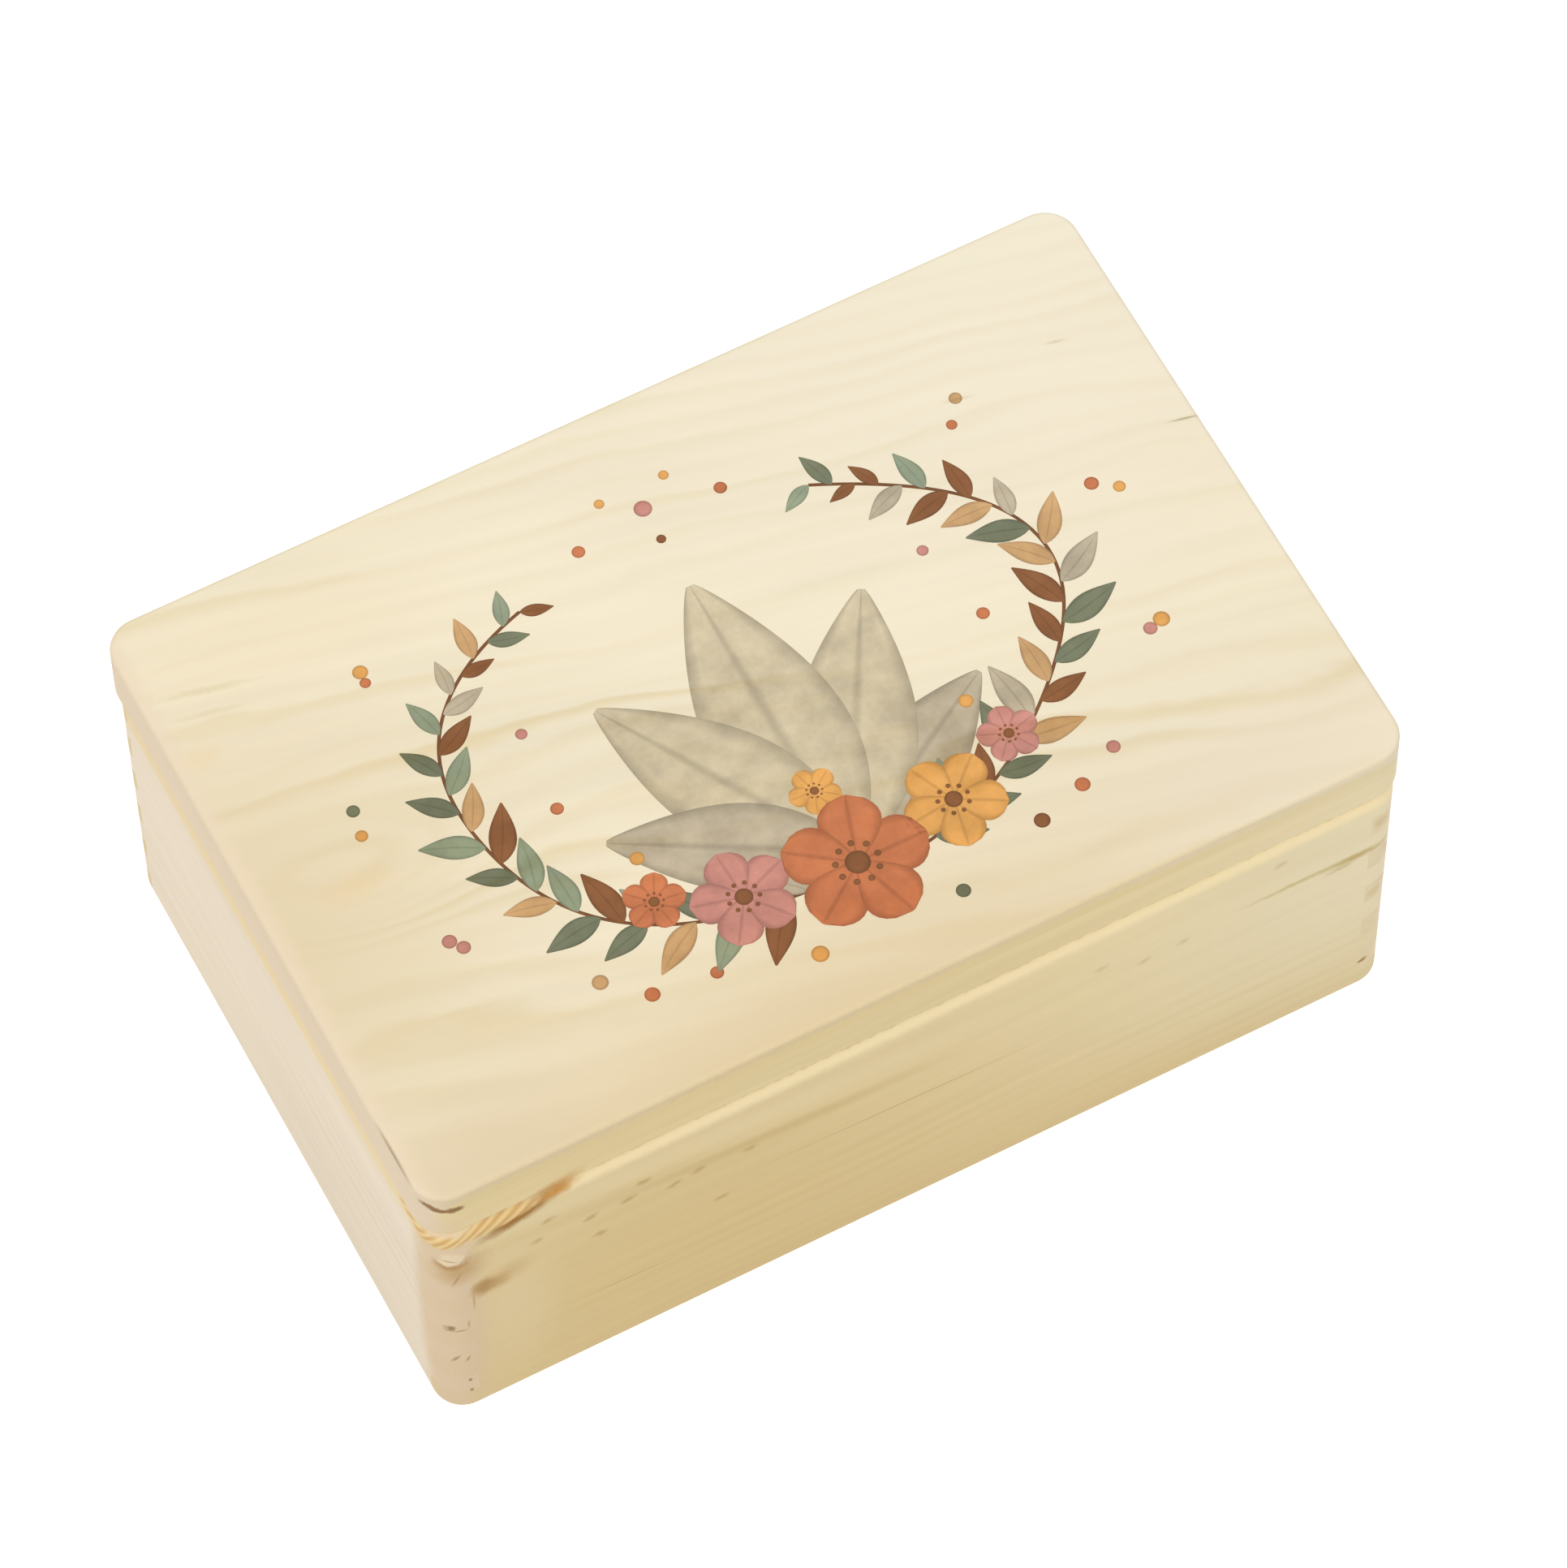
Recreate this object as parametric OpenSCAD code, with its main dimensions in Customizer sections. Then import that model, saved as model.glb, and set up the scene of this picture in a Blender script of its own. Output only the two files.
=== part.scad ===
// Hinged pine keepsake box: finger-jointed boards, a bottom panel let in from below, and a lid
// made of a panel on a mitred frame, which overhangs the box at the ends and the back.
// Millimetres. The origin is the centre of the underside, the front faces -Y, Z is up.

/* [Overall size] */
// Length of the lid, left to right
lid_length = 300; // [240:5:400]
// Depth of the lid, front to back
lid_depth = 200; // [160:5:300]
// Height of the box under the lid
box_height = 106; // [90:1:160]
// Height of the closed lid
lid_height = 22; // [18:1:30]
// Radius of the lid's upright corners
corner_radius = 10; // [6:1:12]
// How far the lid stands out past the box at each end
lid_overhang = 1; // [0.8:0.1:1.4]
// How far the lid sits towards the back, which brings it flush with the box at the front
lid_set_back = 1; // [0.6:0.1:1.4]

/* [Boards] */
// Thickness of the box's upright boards
board_thickness = 10; // [9:0.5:14]
// About how wide the fingers of the corner joints are
finger_width = 9.6; // [7:0.1:14]
// Thickness of the bottom panel
bottom_thickness = 4; // [3:0.5:6]
// How far the bottom panel reaches under each board
bottom_rebate = 5; // [3:0.5:6]
// Thickness of the lid's top panel
top_panel_thickness = 8; // [6:0.5:10]
// Width of the rails under the lid's top panel
rail_width = 12; // [11:0.5:16]

/* [Edges] */
// Rounding of the lid's top edge
lid_top_round = 1.5; // [1:0.1:3]
// Rounding of the lid's lower edge
lid_low_round = 2.5; // [1:0.1:3]
// Rounding of the box's top edge
box_top_round = 5; // [3:0.1:6]
// Rounding of the box's bottom edge
box_low_round = 1.5; // [0.5:0.1:2.5]

/* [Hinges] */
// Length of each hinge
hinge_length = 30; // [24:1:40]
// Distance between the middles of the two hinges
hinge_spacing = 180; // [120:5:190]
// Radius of the hinge barrel
barrel_radius = 2; // [1.8:0.1:2.4]
// Radius of the hinge pin
pin_radius = 1; // [0.8:0.1:1.1]
// Sheet thickness of the hinge leaves
leaf_thickness = 0.9; // [0.7:0.1:1.1]
// How far each leaf reaches in from the hinge axis
leaf_reach = 6.8; // [6.6:0.1:7]
// How far the hinge axis lies in front of the box's back face
axis_inset = 0.7; // [0.6:0.1:0.9]
// Length of the hinge screws
screw_length = 9; // [7:0.5:11]

/* [Hidden] */
$fn = 48;
eps = 0.01;
box_length = lid_length - 2 * lid_overhang;
box_depth = lid_depth - 2 * lid_overhang;
box_radius = corner_radius - lid_overhang;
inner_length = box_length - 2 * board_thickness;
inner_depth = box_depth - 2 * board_thickness;

// The joint has an odd number of equal slots: the end boards take every second one
slot_count = 2 * round((box_height / finger_width - 1) / 2) + 1;
slot_height = box_height / slot_count;

// The hinge axis runs along X in the seam, where the rounded edges leave room for the barrel
axis_y = box_depth / 2 - axis_inset;
axis_z = box_height;
knuckle_count = 5;
knuckle_pitch = hinge_length / knuckle_count;
knuckle_gap = 0.2;
running_clearance = 0.05;
fixed_clearance = 0.02;
leaf_gap = 0.05;
barrel_clearance = 0.3;
pocket_clearance = 0.1;
pin_head_radius = 1.5;
pin_head_height = 0.5;
hinge_x = [-hinge_spacing / 2, hinge_spacing / 2];
screw_x = [-hinge_length / 3, hinge_length / 3];
screw_radius = 0.95;
screw_head_radius = 1.9;
screw_inset = 4.5;
screw_slot = [0.45, 2.4, 0.45];
hole_clearance = 0.05;

pine = "#DCCBA6";
pale_pine = "#E8DAB8";
plywood = "#E3D3AC";
brass = "#C8A55A";
steel = "#B9B4A6";

// What a quarter-round of radius r leaves over in its corner, which points to +X +Y
module round_waste(r) {
    difference() {
        square(r + eps);
        circle(r);
    }
}

// Section through an outer edge: reach wide, height high, its outer corners rounded
module edge_section(reach, height, low_round, top_round) {
    difference() {
        square([reach, height]);
        translate([reach - low_round, low_round]) mirror([0, 1]) round_waste(low_round);
        translate([reach - top_round, height - top_round]) round_waste(top_round);
    }
}

// Block with upright corners of the given radius, whose edges follow edge_section
module rounded_block(length, depth, height, radius, low_round, top_round) {
    module section(width) {
        for (side = [0, 1])
            mirror([side, 0]) edge_section(width / 2, height, low_round, top_round);
    }
    rotate([90, 0, 90]) linear_extrude(length - 2 * radius, center = true) section(depth);
    rotate([90, 0, 0]) linear_extrude(depth - 2 * radius, center = true) section(length);
    for (x = [-1, 1], y = [-1, 1])
        translate([x * (length / 2 - radius), y * (depth / 2 - radius), 0])
            rotate_extrude()
                edge_section(radius, height, low_round, top_round);
}

module box_block() {
    rounded_block(box_length, box_depth, box_height, box_radius, box_low_round, box_top_round);
}

// The whole lid as one block, standing on the origin
module lid_block() {
    rounded_block(lid_length, lid_depth, lid_height, corner_radius, lid_low_round, lid_top_round);
}

// Moves its children from the origin to the lid's place on the box
module in_lid_place() {
    translate([0, lid_set_back, box_height]) children();
}

// Bars in the corners that fill every second slot of the joints, from the given one up
module finger_bars(first) {
    for (i = [first : 2 : slot_count - 1], x = [-1, 1], y = [-1, 1])
        translate([x * (inner_length + board_thickness) / 2, y * (inner_depth + board_thickness) / 2,
                   (i + 0.5) * slot_height])
            cube([board_thickness, board_thickness, slot_height], center = true);
}

// The bottom panel, also cut from the boards that it is let into
module bottom_blank() {
    translate([0, 0, bottom_thickness / 2])
        cube([inner_length + 2 * bottom_rebate, inner_depth + 2 * bottom_rebate, bottom_thickness],
             center = true);
}

// Front or back board: y is its side of the box, -1 or 1
module long_board(y) {
    difference() {
        intersection() {
            box_block();
            translate([0, y * (inner_depth + board_thickness) / 2, box_height / 2])
                cube([box_length, board_thickness, box_height], center = true);
        }
        finger_bars(1);
        bottom_blank();
    }
}

// Left or right board: x is its side of the box, -1 or 1
module end_board(x) {
    difference() {
        intersection() {
            box_block();
            translate([x * (inner_length + board_thickness) / 2, 0, box_height / 2])
                cube([board_thickness, box_depth, box_height], center = true);
        }
        finger_bars(0);
        bottom_blank();
    }
}

// The part of the lid under its top panel, hollow inside the rails
module rail_ring() {
    rail_height = lid_height - top_panel_thickness;
    translate([0, 0, rail_height / 2]) difference() {
        intersection() {
            translate([0, 0, -rail_height / 2]) lid_block();
            cube([lid_length, lid_depth, rail_height], center = true);
        }
        cube([lid_length - 2 * rail_width, lid_depth - 2 * rail_width, rail_height + 1], center = true);
    }
}

// Front or back rail, between the mitre lines: y is its side of the lid, -1 or 1
module long_rail(y) {
    edge = y * lid_depth / 2;
    mitre_x = lid_length / 2 - lid_depth / 2;
    intersection() {
        rail_ring();
        linear_extrude(lid_height)
            polygon([[-lid_length / 2, edge], [lid_length / 2, edge], [mitre_x, 0], [-mitre_x, 0]]);
    }
}

// Left or right rail, between the mitre lines: x is its side of the lid, -1 or 1
module end_rail(x) {
    edge = x * lid_length / 2;
    mitre_x = x * (lid_length / 2 - lid_depth / 2);
    intersection() {
        rail_ring();
        linear_extrude(lid_height)
            polygon([[edge, -lid_depth / 2], [edge, lid_depth / 2], [mitre_x, 0]]);
    }
}

// Moves its children from the middle of a hinge axis to the hinge on side i, 0 or 1
module at_hinge(i) {
    translate([hinge_x[i], axis_y, axis_z]) children();
}

// Room that a hinge takes in the wood: side is -1 for the box and 1 for the lid
module hinge_pocket(side) {
    width = hinge_length + 2 * pin_head_height + 2 * pocket_clearance;
    rotate([0, 90, 0]) cylinder(r = barrel_radius + barrel_clearance, h = width, center = true);
    depth = leaf_thickness + leaf_gap;
    translate([0, -leaf_reach / 2, side * (depth / 2 - eps)])
        cube([hinge_length + 2 * pocket_clearance, leaf_reach + 2 * pocket_clearance, depth + 2 * eps],
             center = true);
    for (x = screw_x)
        translate([x, -screw_inset, side > 0 ? 0 : -screw_length - hole_clearance])
            cylinder(r = screw_radius + hole_clearance, h = screw_length + hole_clearance);
}

// One leaf of a hinge at the axis: side as in hinge_pocket, first is its first knuckle
module hinge_leaf(side, first, bore_radius) {
    clear = barrel_radius + barrel_clearance;
    plate_z = side * (leaf_gap + leaf_thickness / 2);
    difference() {
        union() {
            translate([0, -(leaf_reach + clear) / 2, plate_z])
                cube([hinge_length, leaf_reach - clear, leaf_thickness], center = true);
            for (k = [first : 2 : knuckle_count - 1])
                translate([(k + 0.5) * knuckle_pitch - hinge_length / 2, 0, 0]) {
                    rotate([0, 90, 0])
                        cylinder(r = barrel_radius, h = knuckle_pitch - knuckle_gap, center = true);
                    translate([0, -clear / 2 - 0.1, plate_z])
                        cube([knuckle_pitch - knuckle_gap, clear + 0.2, leaf_thickness], center = true);
                }
        }
        rotate([0, 90, 0]) cylinder(r = bore_radius, h = hinge_length + 2, center = true);
        for (x = screw_x) translate([x, -screw_inset, 0]) screw_shape(side, hole_clearance);
    }
}

// Countersunk screw whose head is flush with the face of its leaf, grown by extra
module screw_shape(side, extra) {
    head_height = screw_head_radius - screw_radius;
    mirror([0, 0, side > 0 ? 0 : 1]) translate([0, 0, leaf_gap]) rotate_extrude()
        polygon([
            [0, 0], [screw_head_radius + extra, 0], [screw_radius + extra, head_height],
            [screw_radius + extra, screw_length - screw_radius - leaf_gap],
            [extra, screw_length - leaf_gap], [0, screw_length - leaf_gap]
        ]);
}

// The two screws of one leaf, each with a cross recess in its head
module hinge_screws(side) {
    for (x = screw_x)
        translate([x, -screw_inset, 0])
            difference() {
                screw_shape(side, 0);
                for (turn = [0, 90])
                    translate([0, 0, side * leaf_gap]) rotate([0, 0, turn + 30])
                        cube([screw_slot[0], screw_slot[1], 2 * screw_slot[2]], center = true);
            }
}

// Pin with a peened head at each end
module hinge_pin() {
    rotate([0, 90, 0]) {
        cylinder(r = pin_radius, h = hinge_length + pin_head_height, center = true);
        for (end = [-1, 1])
            translate([0, 0, end * (hinge_length - knuckle_gap + pin_head_height) / 2])
                cylinder(r = pin_head_radius, h = pin_head_height, center = true);
    }
}

module front_board() { color(pine) long_board(-1); }
module back_board() {
    color(pine) difference() {
        long_board(1);
        for (i = [0, 1]) at_hinge(i) hinge_pocket(-1);
    }
}
module left_board() { color(pale_pine) end_board(-1); }
module right_board() { color(pale_pine) end_board(1); }
module bottom_panel() { color(plywood) bottom_blank(); }

module lid_top_panel() {
    color(pale_pine) in_lid_place() intersection() {
        lid_block();
        translate([0, 0, lid_height - top_panel_thickness / 2])
            cube([lid_length, lid_depth, top_panel_thickness], center = true);
    }
}
module lid_front_rail() { color(pine) in_lid_place() long_rail(-1); }
module lid_back_rail() {
    color(pine) difference() {
        in_lid_place() long_rail(1);
        for (i = [0, 1]) at_hinge(i) hinge_pocket(1);
    }
}
module lid_left_rail() { color(pale_pine) in_lid_place() end_rail(-1); }
module lid_right_rail() { color(pale_pine) in_lid_place() end_rail(1); }

module hinge_box_leaf(i) { color(brass) at_hinge(i) hinge_leaf(-1, 0, pin_radius + fixed_clearance); }
module hinge_lid_leaf(i) { color(brass) at_hinge(i) hinge_leaf(1, 1, pin_radius + running_clearance); }
module placed_pin(i) { color(brass) at_hinge(i) hinge_pin(); }
module placed_screws(i, side) { color(steel) at_hinge(i) hinge_screws(side); }

front_board();
back_board();
left_board();
right_board();
bottom_panel();
lid_top_panel();
lid_front_rail();
lid_back_rail();
lid_left_rail();
lid_right_rail();
hinge_box_leaf(0);  // left_hinge_box_leaf
hinge_lid_leaf(0);  // left_hinge_lid_leaf
placed_pin(0);  // left_hinge_pin
placed_screws(0, -1);  // left_hinge_box_screws
placed_screws(0, 1);  // left_hinge_lid_screws
hinge_box_leaf(1);  // right_hinge_box_leaf
hinge_lid_leaf(1);  // right_hinge_lid_leaf
placed_pin(1);  // right_hinge_pin
placed_screws(1, -1);  // right_hinge_box_screws
placed_screws(1, 1);  // right_hinge_lid_screws
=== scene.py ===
# %% [markdown]
# A pine keepsake box, finished for the render
#
# The box is four boards joined at their corners with glued fingers, a bottom panel let
# in from below, and a lid made of a panel on a mitred frame, hung on two small brass
# butt hinges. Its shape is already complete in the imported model, so this script is
# about surfaces: which way the grain runs in each board, where end grain shows, how
# sanded bare wood takes the light. Sizes below are in millimetres, because that is how
# a joiner would give them.

import math
from collections import namedtuple

import bpy
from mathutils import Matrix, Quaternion, Vector


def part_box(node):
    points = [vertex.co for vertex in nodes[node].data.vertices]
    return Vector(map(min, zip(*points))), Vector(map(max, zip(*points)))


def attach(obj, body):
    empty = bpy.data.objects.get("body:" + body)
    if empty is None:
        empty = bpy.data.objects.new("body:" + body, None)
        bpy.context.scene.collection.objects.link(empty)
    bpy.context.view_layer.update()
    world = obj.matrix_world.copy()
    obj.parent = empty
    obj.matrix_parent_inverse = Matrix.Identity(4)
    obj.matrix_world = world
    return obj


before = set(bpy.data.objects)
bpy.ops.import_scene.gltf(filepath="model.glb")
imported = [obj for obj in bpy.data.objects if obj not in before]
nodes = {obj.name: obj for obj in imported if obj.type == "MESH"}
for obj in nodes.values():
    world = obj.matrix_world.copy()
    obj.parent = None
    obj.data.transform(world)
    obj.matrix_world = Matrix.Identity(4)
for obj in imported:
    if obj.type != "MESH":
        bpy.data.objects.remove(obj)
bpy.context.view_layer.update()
MM = 0.001
print("pieces in the packed model:", len(nodes))


def box_mm(name):
    """The lowest corner, highest corner and middle of a CAD piece, in millimetres."""
    low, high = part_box(name)
    return low / MM, high / MM, (low + high) / (2 * MM)


# %% [markdown]
# The camera stands where the photographer stood
#
# The photograph looks down on the lid from the front left through a long lens, so
# the box shows almost no perspective. A camera placed by the point that it looks at,
# its distance and three angles is easier to read than a matrix.

# %% Camera
AIM = Vector((9.19, 1.36, 67.03)) * MM
DISTANCE = 2415.8 * MM
AZIMUTH, ELEVATION, ROLL = math.radians(-27.0), math.radians(60.63), math.radians(-0.928)
FOCAL_LENGTH = 199.03
SEES_AS_FAR_AS = 50  # metres

away = Vector((
    math.sin(AZIMUTH) * math.cos(ELEVATION),
    -math.cos(AZIMUTH) * math.cos(ELEVATION),
    math.sin(ELEVATION),
))
camera = bpy.data.objects.new("camera", bpy.data.cameras.new("camera"))
camera.data.lens = FOCAL_LENGTH
camera.data.clip_end = SEES_AS_FAR_AS
camera.location = AIM + DISTANCE * away
camera.rotation_mode = "QUATERNION"
camera.rotation_quaternion = (-away).to_track_quat("-Z", "Y") @ Quaternion((0, 0, 1), ROLL)
scene = bpy.context.scene
scene.collection.objects.link(camera)
scene.camera = camera
print("camera at", [round(c, 4) for c in camera.location])

# %% [markdown]
# One helper for every node tree
#
# Materials, the world and geometry trees are all made of nodes. One function that
# adds a node, sets what it is told and links what it is given keeps each tree short
# enough to read like a recipe. Colours are picked on a screen, while nodes reckon with
# linear light, so every picked colour goes through a second function.


# %% Helpers for nodes and colours
def add(tree, kind, inputs=(), **settings):
    """Adds a node. Inputs come by name or number, or in their order in a tuple. Each is a value
    to set, an output or node to link, or a list of things to link."""
    node = tree.nodes.new(kind)
    for key, value in settings.items():
        setattr(node, key, value)
    for key, value in inputs.items() if isinstance(inputs, dict) else enumerate(inputs):
        for source in value if isinstance(value, list) else [value]:
            if isinstance(source, bpy.types.Node):
                source = source.outputs[0]
            if isinstance(source, bpy.types.NodeSocket):
                tree.links.new(source, node.inputs[key])
            else:
                node.inputs[key].default_value = source
    return node


def paint(hex_code):
    """An sRGB colour, as picked on a screen, as the linear colour that nodes expect."""
    parts = [int(hex_code[i:i + 2], 16) / 255 for i in (1, 3, 5)]
    return tuple(c / 12.92 if c <= 0.04045 else ((c + 0.055) / 1.055) ** 2.4 for c in parts) + (1,)


def blank_material(name):
    """A new material, and its tree without any node."""
    material = bpy.data.materials.new(name)
    material.use_nodes = True
    material.node_tree.nodes.clear()
    return material, material.node_tree


# %% [markdown]
# A plain pale studio
#
# The photograph has a white ground. Here the world and the floor look white to the
# camera, and to anything that mirrors them, while the light on the box stays plain.
# The floor is a real surface, so that the box's own soft shadow still falls on it. Its
# paper is a middling grey that bounces little light, with a glow for the camera alone.

# %% World
WHITE = (1, 1, 1, 1)
SKY_COLOUR, SKY_STRENGTH = (1.0, 0.99, 0.97, 1), 0.62


def ray_is_one_of(tree, *kinds):
    """One for a ray of any of these kinds, and zero for every other ray."""
    path = add(tree, "ShaderNodeLightPath")
    found = path.outputs[kinds[0]]
    for kind in kinds[1:]:
        found = add(tree, "ShaderNodeMath", (found, path.outputs[kind]), operation="MAXIMUM")
    return found


world = bpy.data.worlds.new("studio")
scene.world = world
scene.view_settings.view_transform = "Standard"
world.use_nodes = True
tree = world.node_tree
tree.nodes.clear()
seen = ray_is_one_of(tree, "Is Camera Ray", "Is Glossy Ray", "Is Transmission Ray")
lit = add(tree, "ShaderNodeBackground", {"Color": SKY_COLOUR, "Strength": SKY_STRENGTH})
white = add(tree, "ShaderNodeBackground", {"Color": WHITE, "Strength": 1.0})
mixed = add(tree, "ShaderNodeMixShader", (seen, lit, white))
add(tree, "ShaderNodeOutputWorld", {"Surface": mixed})
print("sky strength:", SKY_STRENGTH)

# %% Floor
FLOOR_WIDTH = 12  # metres
PAPER_COLOUR, PAPER_GLOW = (0.62, 0.61, 0.6, 1), 0.75

bpy.ops.mesh.primitive_plane_add(size=FLOOR_WIDTH)
floor = bpy.context.object
floor.name = "floor"
paper, tree = blank_material("white paper sweep")
seen = ray_is_one_of(tree, "Is Camera Ray", "Is Glossy Ray")
matt = add(tree, "ShaderNodeBsdfDiffuse", {"Color": PAPER_COLOUR})
glow = add(tree, "ShaderNodeEmission", {"Color": WHITE, "Strength": PAPER_GLOW})
both = add(tree, "ShaderNodeAddShader", (matt, glow))
mixed = add(tree, "ShaderNodeMixShader", (seen, matt, both))
add(tree, "ShaderNodeOutputMaterial", {"Surface": mixed})
floor.data.materials.append(paper)
print("floor glow:", PAPER_GLOW)

# %% [markdown]
# Three soft lamps
#
# Broad lamps give the soft shadows of a product photograph. The window lights the lid
# and the left side, the fill keeps the front from going dark, and the back lamp
# brings out the round edges.

# %% Lamps
# Each lamp: its name, its place and width in metres, its power in watts and its colour.
LAMPS = (
    ("window", (-1.5, -0.3, 1.55), 1.6, 17.5, "#FFFCF5"),
    ("fill", (0.9, -1.9, 1.2), 1.4, 12.0, "#FFF9EE"),
    ("back", (0.9, 0.9, 1.1), 0.8, 3.5, "#FFFFFF"),
)
for name, place, width, watts, colour in LAMPS:
    lamp = bpy.data.objects.new(name, bpy.data.lights.new(name, "AREA"))
    lamp.data.energy, lamp.data.size, lamp.data.color = watts, width, paint(colour)[:3]
    lamp.location = place
    lamp.rotation_euler = (-Vector(place)).to_track_quat("-Z", "Y").to_euler()
    scene.collection.objects.link(lamp)
    print("lamp", name, watts, "W")

# %% [markdown]
# Pine, as a solid pattern
#
# Wood grain is not a picture on the surface: it is a stack of growth rings round the
# tree's centre, the pith, cut through by the board's faces. So the pattern here is
# solid too. Rings are drawn round a line beside the board, and each face shows what
# it cuts: long flames on the wide faces, arcs on the end grain.
#
# No trunk grows quite straight. Its rings wander slowly along it, with a smaller
# ripple on that, and they swing out round a branch.

# %% Rings that wander
RIPPLE = 0.45  # how much the small ripple weighs, next to the slow wander
EDDY_HALF_SIZES, EDDY_DEPTH = (62, 27, 60), 15.0


def grain_noise(group, given, width, stretch, detail, roughness=0.5):
    """Noise in spots so many millimetres wide, and so many times as long along the grain."""
    drawn = add(group, "ShaderNodeVectorMath", (given["Position"], (1 / stretch, 1, 1)), operation="MULTIPLY")
    look = {"Vector": drawn, "W": given["Seed"], "Scale": 1 / width, "Detail": detail, "Roughness": roughness}
    return add(group, "ShaderNodeTexNoise", look, noise_dimensions="4D").outputs["Fac"]


def count_years(group, given):
    """How many rings lie between the pith and a spot."""
    slow = grain_noise(group, given, width=42, stretch=2.4, detail=1.0)
    small = grain_noise(group, given, width=14, stretch=2.6, detail=2.0)
    bend = add(group, "ShaderNodeMath", (small, RIPPLE, slow), operation="MULTIPLY_ADD")
    # Noise is a half on average, so half of both weights comes off for a bend to either side.
    bend = add(group, "ShaderNodeMath", (bend, (1 + RIPPLE) / 2), operation="SUBTRACT")
    bend = add(group, "ShaderNodeMath", (bend, given["Wander"]), operation="MULTIPLY")

    from_pith = add(group, "ShaderNodeVectorMath", (given["Position"], given["Pith"]), operation="SUBTRACT")
    across = add(group, "ShaderNodeVectorMath", (from_pith, (0, 1, 1)), operation="MULTIPLY")
    radius = add(group, "ShaderNodeVectorMath", (across,), operation="LENGTH").outputs["Value"]
    radius = add(group, "ShaderNodeMath", (radius, bend), operation="ADD")

    # The branch lay just beside the board, and the rings pass round it in an eddy.
    place = {"Vector": given["Position"], "Location": given["Eddy"], "Scale": EDDY_HALF_SIZES}
    eddy = add(group, "ShaderNodeMapping", place, vector_type="TEXTURE")
    reach = add(group, "ShaderNodeVectorMath", (eddy,), operation="LENGTH").outputs["Value"]
    swing = (reach, 0.0, 1.0, EDDY_DEPTH, 0.0)
    swing = add(group, "ShaderNodeMapRange", swing, interpolation_type="SMOOTHERSTEP")
    radius = add(group, "ShaderNodeMath", (radius, swing), operation="ADD")
    return add(group, "ShaderNodeMath", (radius, given["Ring width"]), operation="DIVIDE")


print("an eddy swings the rings out by", EDDY_DEPTH, "mm")

# %% [markdown]
# One year of growth
#
# Within a year the wood darkens slowly towards autumn, and the next spring starts pale
# almost at once. Some years leave weak lines and some strong ones, and whole patches
# show their rings less, where the late wood was soft. The Map Range nodes below take
# a value, the range that it comes from and the range that it goes to.

# %% Late wood
# Parts of a year in which the wood turns dark, and pale again.
TURNS_DARK, TURNS_PALE = (0.15, 0.75), (0.72, 1.0)
YEARS_WEIGH = (0.1, 1.1)
SOFT_TONES, LEFT_WHERE_SOFT = (0.38, 0.6), 0.25


def late_wood(group, years, tone):
    """How much of the late wood's colour shows at a spot."""
    part = add(group, "ShaderNodeMath", (years,), operation="FRACT")
    dark = add(group, "ShaderNodeMapRange", (part, *TURNS_DARK), interpolation_type="SMOOTHSTEP")
    pale = add(group, "ShaderNodeMapRange", (part, *TURNS_PALE, 1.0, 0.0), interpolation_type="SMOOTHSTEP")
    band = add(group, "ShaderNodeMath", (dark, pale), operation="MULTIPLY")

    year = add(group, "ShaderNodeMath", (years,), operation="FLOOR")
    growth = add(group, "ShaderNodeTexWhiteNoise", {"W": year}, noise_dimensions="1D").outputs["Value"]
    weight = add(group, "ShaderNodeMapRange", (growth, 0.0, 1.0, *YEARS_WEIGH))
    late = add(group, "ShaderNodeMath", (band, weight), operation="MULTIPLY")
    clear = add(group, "ShaderNodeMapRange", (tone, *SOFT_TONES, 1.0, LEFT_WHERE_SOFT))
    return add(group, "ShaderNodeMath", (late, clear), operation="MULTIPLY")


print("years weigh from and to:", YEARS_WEIGH)

# %% [markdown]
# The pine figure as one node group
#
# Besides its rings, pine shows fine fibres, streaks of resin and slow changes of tone:
# all noise drawn out along the grain, each at its own width. A group with named
# sockets lets every board use the same figure with its own numbers.

# %% The figure of the wood
FIGURE_INPUTS = {
    "Position": "Vector", "Pith": "Vector", "Ring width": "Float", "Wander": "Float", "Seed": "Float", "Eddy": "Vector",
}
FIGURE_OUTPUTS = ("Latewood", "Fibres", "Tone", "Streaks")


def make_pine_figure():
    """A node group for wood with its grain along X, in millimetres."""
    group = bpy.data.node_groups.new("pine figure", "ShaderNodeTree")
    for name, kind in FIGURE_INPUTS.items():
        group.interface.new_socket(name=name, in_out="INPUT", socket_type="NodeSocket" + kind)
    for name in FIGURE_OUTPUTS:
        group.interface.new_socket(name=name, in_out="OUTPUT", socket_type="NodeSocketFloat")
    given = add(group, "NodeGroupInput").outputs
    tone = grain_noise(group, given, width=58, stretch=2.4, detail=2.0)
    add(group, "NodeGroupOutput", {
        "Latewood": late_wood(group, count_years(group, given), tone),
        # Fibres are 0.03 mm wide in real pine; these are drawn 0.5 to 1 mm wide, so that they show.
        "Fibres": grain_noise(group, given, width=0.9, stretch=38, detail=3.0, roughness=0.65),
        "Tone": tone,
        "Streaks": grain_noise(group, given, width=5, stretch=16, detail=2.0),
    })
    return group


pine_figure = make_pine_figure()
print("nodes in the pine figure:", len(pine_figure.nodes))
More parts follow.
